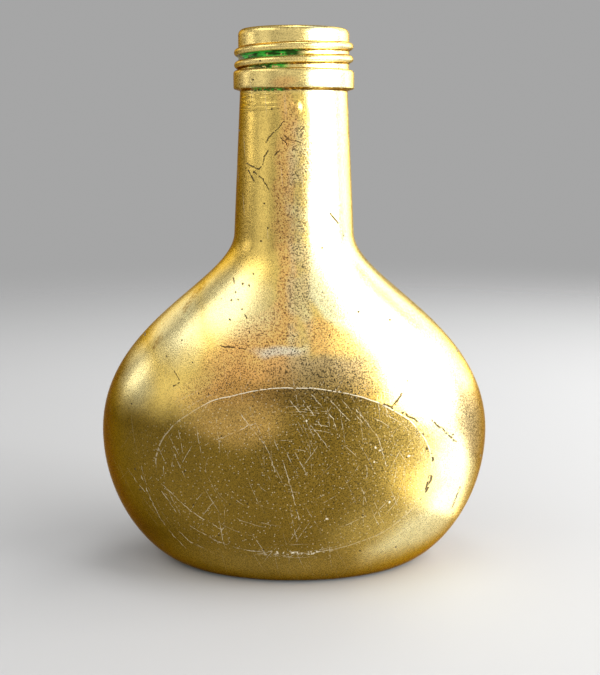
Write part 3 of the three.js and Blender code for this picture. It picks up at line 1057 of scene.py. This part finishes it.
def body_color(coat):
    """Colours of the body's leaf, with its painted highlights, reflections and shade, and how strongly the
    grain shows on them.
    """
    x, y, z = coat.x, coat.y, coat.z
    color = coat.gold()
    # Painted glint above the panel, and painted highlights on the left shoulder
    color = coat.blend(coat.spots(PAINTED_GLINT), color, WEAR_AND_GLINT)
    color = coat.blend(coat.spots(*PAINTED_HIGHLIGHTS), color, PALE)
    # Painted dark reflection of the dusky band
    color = coat.blend(coat.dusky_reflection * DUSK_SHARE, color, DUSK)
    # Painted dark olive reflection on the lower body, thinner on the right, at the foot and in the lower
    # right patch
    thinned = (x.step(*OLIVE_RIGHT) * coat.facing).between(1, OLIVE_RIGHT_SHARE)
    thinned = thinned * z.step(*OLIVE_FOOT_LEVELS).between(1, OLIVE_FOOT_SHARE)
    thinned = thinned * coat.spots(LOWER_RIGHT).inverse()
    level = coat.parts(coat.wavering)[2] + x.step(*OLIVE_RISE_PLACES) * OLIVE_RISE
    olive_reflection = level.step(*OLIVE_LEVELS) * coat.painted_highlight.between(1, OLIVE_ON_PALE_SHARE) * thinned
    # Painted warm copper reflection on the panel's upper left
    warm_reflection = coat.spots(WARM_REFLECTION_PATCH)
    color = coat.blend(olive_reflection * warm_reflection.between(OLIVE_SHARE, OLIVE_ON_WARM_SHARE), color, OLIVE)
    color = coat.blend(warm_reflection * WARM_SHARE, color, COPPER)
    smears = coat.marks(SMEARS, SMEAR_WIDTH) * coat.fine.step(*SMEAR_BREAK_SHARES)
    color = coat.blend(smears * y.step(*SMEAR_DEPTHS) * SMEAR_SHARE, color, BROWN)
    # Painted dark reflection along the right shoulder's edge
    edge = (x + z * EDGE_SLOPE).step(*EDGE_BAND) * coat.facing * z.step(*EDGE_LEVELS)
    color = coat.blend(edge * EDGE_SHARE, color, DUSK)
    strong = coat.grained().over(coat.dusky_reflection).over(coat.spots(RUBBED_PATCH))
    return color, strong.over(edge * EDGE_GRAIN_SHARE)


def crease_highlight_and_scuffs(coat, radius):
    """The panel's crease painted pale as a highlight, strongest along its top, and the scuffs at its foot.
    """
    # Painted highlight along the crease, strongest at its top
    crease = radius.near(1, CREASE_WIDTH_SHARE) * coat.fine.step(*CREASE_BREAK_SHARES)
    top = coat.corner(*CREASE_TOP)
    foot = coat.corner(*CREASE_FOOT) * CREASE_FOOT_SHARE
    faint = coat.z.step(*CREASE_FAINT_LEVELS) * CREASE_FAINT_SHARE
    scuffs = radius.near(1, SCUFF_WIDTH_SHARE) * coat.fine.step(*SCUFF_BREAK_SHARES)
    scuffs = scuffs * coat.spot(coat.place, *SCUFF_PATCH)
    return (crease * top.over(foot).over(faint)).over(scuffs)


def fine_scratches(coat, radius, turn):
    """Hairlines round the panel and in some directions across it, fewer on the back."""
    curved = coat.shifted(*HAIR_BEND)
    round_panel = coat.joined(radius * OVAL_HAIR_REACH, coat.y, turn * OVAL_HAIR_TURN)
    hairs = coat.hairlines(round_panel, *OVAL_HAIRS) * radius.step(*OVAL_HAIR_SHARES)
    for angle, *sizes in HAIRLINES:
        hairs = hairs.over(coat.hairlines(coat.slanted(curved, angle), *sizes))
    density = radius.step(*HAIR_FIELD_SHARES) * coat.patch.step(*HAIR_PATCH_SHARES)
    hairs = hairs * coat.fine.step(*HAIR_BREAK_SHARES) * density.between(*HAIR_DENSITY_SHARES)
    return hairs * coat.front.between(HAIR_BACK_SHARE, 1)


def body_wear_and_glint(coat, radius, turn):
    """Pale wear and painted highlight of the body: the crease's painted highlight, scratches, scuffs, specks
    and dust.
    """
    wear_and_glint = crease_highlight_and_scuffs(coat, radius).over(fine_scratches(coat, radius, turn))
    faint = coat.noise(SCRATCH_NOISE_SIZE).step(*SCRATCH_BREAK_SHARES)
    faint = faint * coat.fine.step(*HAIR_BREAK_SHARES).between(*SCRATCH_STRENGTH_SHARES)
    wear_and_glint = wear_and_glint.over(coat.marks(PALE_SCRATCHES, SCRATCH_WIDTH) * faint * coat.front)
    wear_and_glint = wear_and_glint.over(coat.dots(BRIGHT_SPECKS, SPECK_RADIUS) * coat.front)
    dust = coat.sprinkled(*DUST) * radius.step(*DUST_FIELD_SHARES) * coat.fine.step(*DUST_BREAK_SHARES)
    return wear_and_glint.over(dust * DUST_SHARE)


def body_breaks(coat, radius):
    """Dark breaks of the body: chips along the crease, cracks and pinholes."""
    chips = radius.near(*CHIP_LINE_SHARES) * coat.noise(CHIP_SIZE, detail=1).step(*CHIP_BREAK_SHARES)
    chips = chips * coat.corner(*CHIP_CORNER)
    bold = coat.marks(BOLD_CRACKS, BOLD_CRACK_WIDTH) * coat.fine.step(*BOLD_BREAK_SHARES)
    cracks = coat.marks(BODY_CRACKS, CRACK_WIDTH).over(bold)
    pinholes = coat.sprinkled(*BODY_HOLES) * coat.patch.step(*BODY_HOLE_PATCH_SHARES)
    holes = coat.dots(BODY_PINHOLES, PINHOLE_RADIUS)
    cracks = cracks * coat.fine.step(*CRACK_BREAK_SHARES)
    return chips.over(cracks).over(pinholes).over(holes) * coat.front


def body_leaf():
    coat = Gilding("body gilding")
    color, strong = body_color(coat)
    radius, turn = coat.oval(coat.shifted(*CREASE_WAVER))
    wear_and_glint = body_wear_and_glint(coat, radius, turn)
    broken = body_breaks(coat, radius)
    return coat.leaf(color, strong, wear_and_glint, broken, None, coat.patch * BODY_RELIEF_SHARE)


def thread_phase(coat):
    """Share of a pitch below the thread's crest, from 0 to 1."""
    x, y, z = coat.parts(coat.place)
    turn = y.combined("ARCTAN2", x) * (1 / (2 * math.pi))
    return (turn - (z - CREST_LEVEL) * (1 / THREAD_PITCH)).combined("FRACT")


def green_gaps(coat, phase):
    """Where the leaf missed the thread's grooves and the corner under the collar, front left."""
    x, _, z = coat.parts(coat.frayed)
    upper, lower = (
        x.within(*band) * z.near(*level) * phase.near(*shares)
        for band, level, shares in (UPPER_GAP, LOWER_GAP)
    )
    band, level = COLLAR_GAP
    under = z.near(*level) * x.within(*band)
    ragged = coat.noise(GAP_NOISE_SIZE, detail=3)
    whole = upper * ragged.step(*UPPER_GAP_BREAK_SHARES)
    gaps = whole.over(lower.over(under) * ragged.step(*LOWER_GAP_BREAK_SHARES))
    return gaps * coat.front


def neck_color(coat, phase):
    """Colours of the neck's leaf, with painted shade in the thread and under the collar."""
    z = coat.z
    color = coat.gold()
    # Painted highlight over the finish
    color = coat.blend(z.step(*FINISH_LEVELS) * FINISH_HIGHLIGHT_SHARE, color, PALE)
    # Painted copper reflection on the collar
    color = coat.blend(coat.spots(COLLAR_REFLECTION), color, COPPER)
    # Painted shade under the thread's crest and under the collar
    painted_shade = phase.near(*SHADE_LINE_SHARES) * z.within(*THREADED_LEVELS)
    painted_shade = painted_shade.over(z.near(COLLAR_BOTTOM - SHADE_DROP, SHADE_HEIGHT))
    painted_shade = painted_shade * coat.fine.step(*SHADE_BREAK_SHARES)
    return coat.blend(painted_shade * PAINTED_SHADE_SHARE, color, PAINTED_SHADE)


def neck_breaks(coat):
    bold = coat.marks(BOLD_NECK_CRACKS, BOLD_NECK_CRACK_WIDTH)
    cracks = coat.marks(NECK_CRACKS, NECK_CRACK_WIDTH).over(bold)
    cracks = cracks * coat.fine.step(*CRACK_BREAK_SHARES) * coat.front
    return cracks.over(coat.sprinkled(*NECK_HOLES) * coat.x.step(*NECK_HOLE_PLACES))


def neck_relief(coat):
    rings = coat.noise(FOLD_SIZE, detail=1, stretch=FOLD_STRETCH).step(*FOLD_BREAK_SHARES)
    folds = coat.z.near(*FOLD_LEVEL) * rings * coat.x.step(*FOLD_PLACES) * coat.front
    blister = coat.spot(coat.place, *BLISTER) * coat.front
    return folds * FOLD_SHARE + blister * BLISTER_SHARE


def neck_leaf():
    coat = Gilding("neck gilding")
    phase = thread_phase(coat)
    color = neck_color(coat, phase)
    strong = coat.grained()
    hairs = coat.hairlines(coat.slanted(coat.place, NECK_HAIR_ANGLE), *NECK_HAIRS)
    broken = neck_breaks(coat)
    green = green_gaps(coat, phase)
    return coat.leaf(color, strong, hairs * NECK_HAIR_SHARE, broken, green, neck_relief(coat))


# Clear green glass, with soft ripples and seeds
GLASS_COLORS = ((0.02, 0.36, 0.1), (0.03, 0.45, 0.14))
RIPPLE_SIZE = 6
RIPPLE_DEPTH = 0.2
SEED_SPACING = 3.5
SEED_SHARES = (0.12, 0.05)
GLASS_ROUGHNESS = (0.03, 0.13)
GLASS_LOOK = {"Transmission Weight": 1.0, "IOR": 1.52}


def glass_material():
    canvas = Canvas("green glass")
    ripple = canvas.noise(RIPPLE_SIZE)
    values = {"Vector": canvas.place, "Scale": 1 / SEED_SPACING}
    seeds = canvas.field("ShaderNodeTexVoronoi", "Distance", values).step(*SEED_SHARES)
    color = canvas.blend(ripple, *GLASS_COLORS)
    normal = canvas.bump(ripple, RIPPLE_DEPTH)
    look = {"Base Color": color, "Roughness": seeds.between(*GLASS_ROUGHNESS), "Normal": normal}
    return canvas.finish(look | GLASS_LOOK)


# Camera, placed as the photograph was taken
CAMERA_PLACE = (1.44, -244.2, 106.69)
CAMERA_PITCH = math.radians(11.8)
CAMERA_NEAREST = 10
FOCAL_PIXELS = 1017
PICTURE_HEIGHT = 675
SENSOR = 36


def camera():
    data = bpy.data.cameras.new("camera")
    data.sensor_width = SENSOR
    data.lens = SENSOR * FOCAL_PIXELS / PICTURE_HEIGHT
    data.clip_start = CAMERA_NEAREST * MM
    thing = placed("camera", data)
    thing.location = Vector(CAMERA_PLACE) * MM
    thing.rotation_euler = (math.pi / 2 - CAMERA_PITCH, 0, 0)
    bpy.context.scene.camera = thing


# World light and floor
WORLD_LEVEL = 0.38
FLOOR_RADIUS = 620
FLOOR_FADE_RADIUS = 180
FLOOR_DROP = 0.02
FLOOR_STEPS = 96
FLOOR_LOOK = {"Base Color": (0.52, 0.52, 0.52, 1), "Roughness": 0.8, "Specular IOR Level": 0.15}

# Softboxes in metres: place, what it faces, width and height, and its radiance
SOFTBOXES = {
    "right_strip": ((0.75, -0.62, 0.19), (0, -0.62, 0.16), 1.26, 0.32, 8.5),
    "right_window": ((0.46, -0.07, 0.41), (0, 0, 0.06), 0.46, 0.4, 4.4),
    "front_window": ((0.45, -0.42, 0.42), (0, 0, 0.07), 0.38, 0.14, 3.4),
    "far_card": ((0.42, 0.3, 0.17), (0, 0, 0.12), 0.4, 0.3, 2.7),
    "far_window": ((0.3, 0.42, 0.42), (0, 0, 0.08), 0.3, 0.26, 2.8),
    "left_window": ((-0.31, -0.115, 0.38), (-0.015, -0.016, 0.066), 0.34, 0.19, 1.95),
    "left_pane": ((-0.463, 0.064, 0.17), (-0.036, -0.013, 0.05), 0.12, 0.12, 1.9),
    "back_card": ((-0.403, 0.407, 0.277), (-0.028, -0.009, 0.062), 0.36, 0.19, 0.95),
    "front_card": ((0, -0.5, 0.33), (0, 0, 0.1), 0.8, 0.5, 0.38),
    "left_card": ((-0.44, -0.234, 0.17), (0, 0, 0.1), 0.24, 0.25, 0.6),
    "low_card": ((0.15, -0.037, 0.003), (0.15, -0.037, 1), 0.2, 0.076, 2.2),
    "top_card": ((0.04, 0.04, 0.8), (0, 0, 0.1), 0.3, 0.2, 4),
}


def softbox(name, place, target, width, height, radiance):
    data = bpy.data.lights.new(name, "AREA")
    data.shape = "RECTANGLE"
    data.size = width
    data.size_y = height
    data.energy = radiance * math.pi * width * height
    thing = placed(name, data)
    thing.location = place
    thing.rotation_euler = (Vector(target) - Vector(place)).to_track_quat("-Z", "Y").to_euler()
    thing.visible_camera = False


def world():
    light = bpy.data.worlds.new("world")
    light.use_nodes = True
    background = light.node_tree.nodes["Background"]
    background.inputs["Color"].default_value = (1, 1, 1, 1)
    background.inputs["Strength"].default_value = WORLD_LEVEL
    bpy.context.scene.world = light


def floor_material():
    """Grey that turns clear towards the floor's edge."""
    canvas = Canvas("floor")
    canvas.finish(FLOOR_LOOK)
    fade = canvas.measure("LENGTH", canvas.place).step(FLOOR_FADE_RADIUS, FLOOR_RADIUS)
    clear = canvas.socket("ShaderNodeBsdfTransparent", "BSDF", {})
    values = dict(enumerate((fade, canvas.shader.outputs["BSDF"], clear)))
    mix = canvas.socket("ShaderNodeMixShader", "Shader", values)
    canvas.plug(mix, canvas.tree.nodes["Material Output"].inputs["Surface"])
    return canvas.material


def floor():
    form = bmesh.new()
    bmesh.ops.create_circle(form, cap_ends=True, segments=FLOOR_STEPS, radius=FLOOR_RADIUS)
    thing = to_object("floor", form, floor_material())
    thing.location.z = -FLOOR_DROP * MM


bpy.context.scene.view_settings.view_transform = "Standard"
camera()
world()
floor()
for name, settings in SOFTBOXES.items():
    softbox(name, *settings)

leaf = leaf_skin(body_leaf(), neck_leaf())
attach(leaf, "root")
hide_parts("gold_leaf")

glass = glass_flask(glass_material())
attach(glass, "root")
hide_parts("glass_bottle")
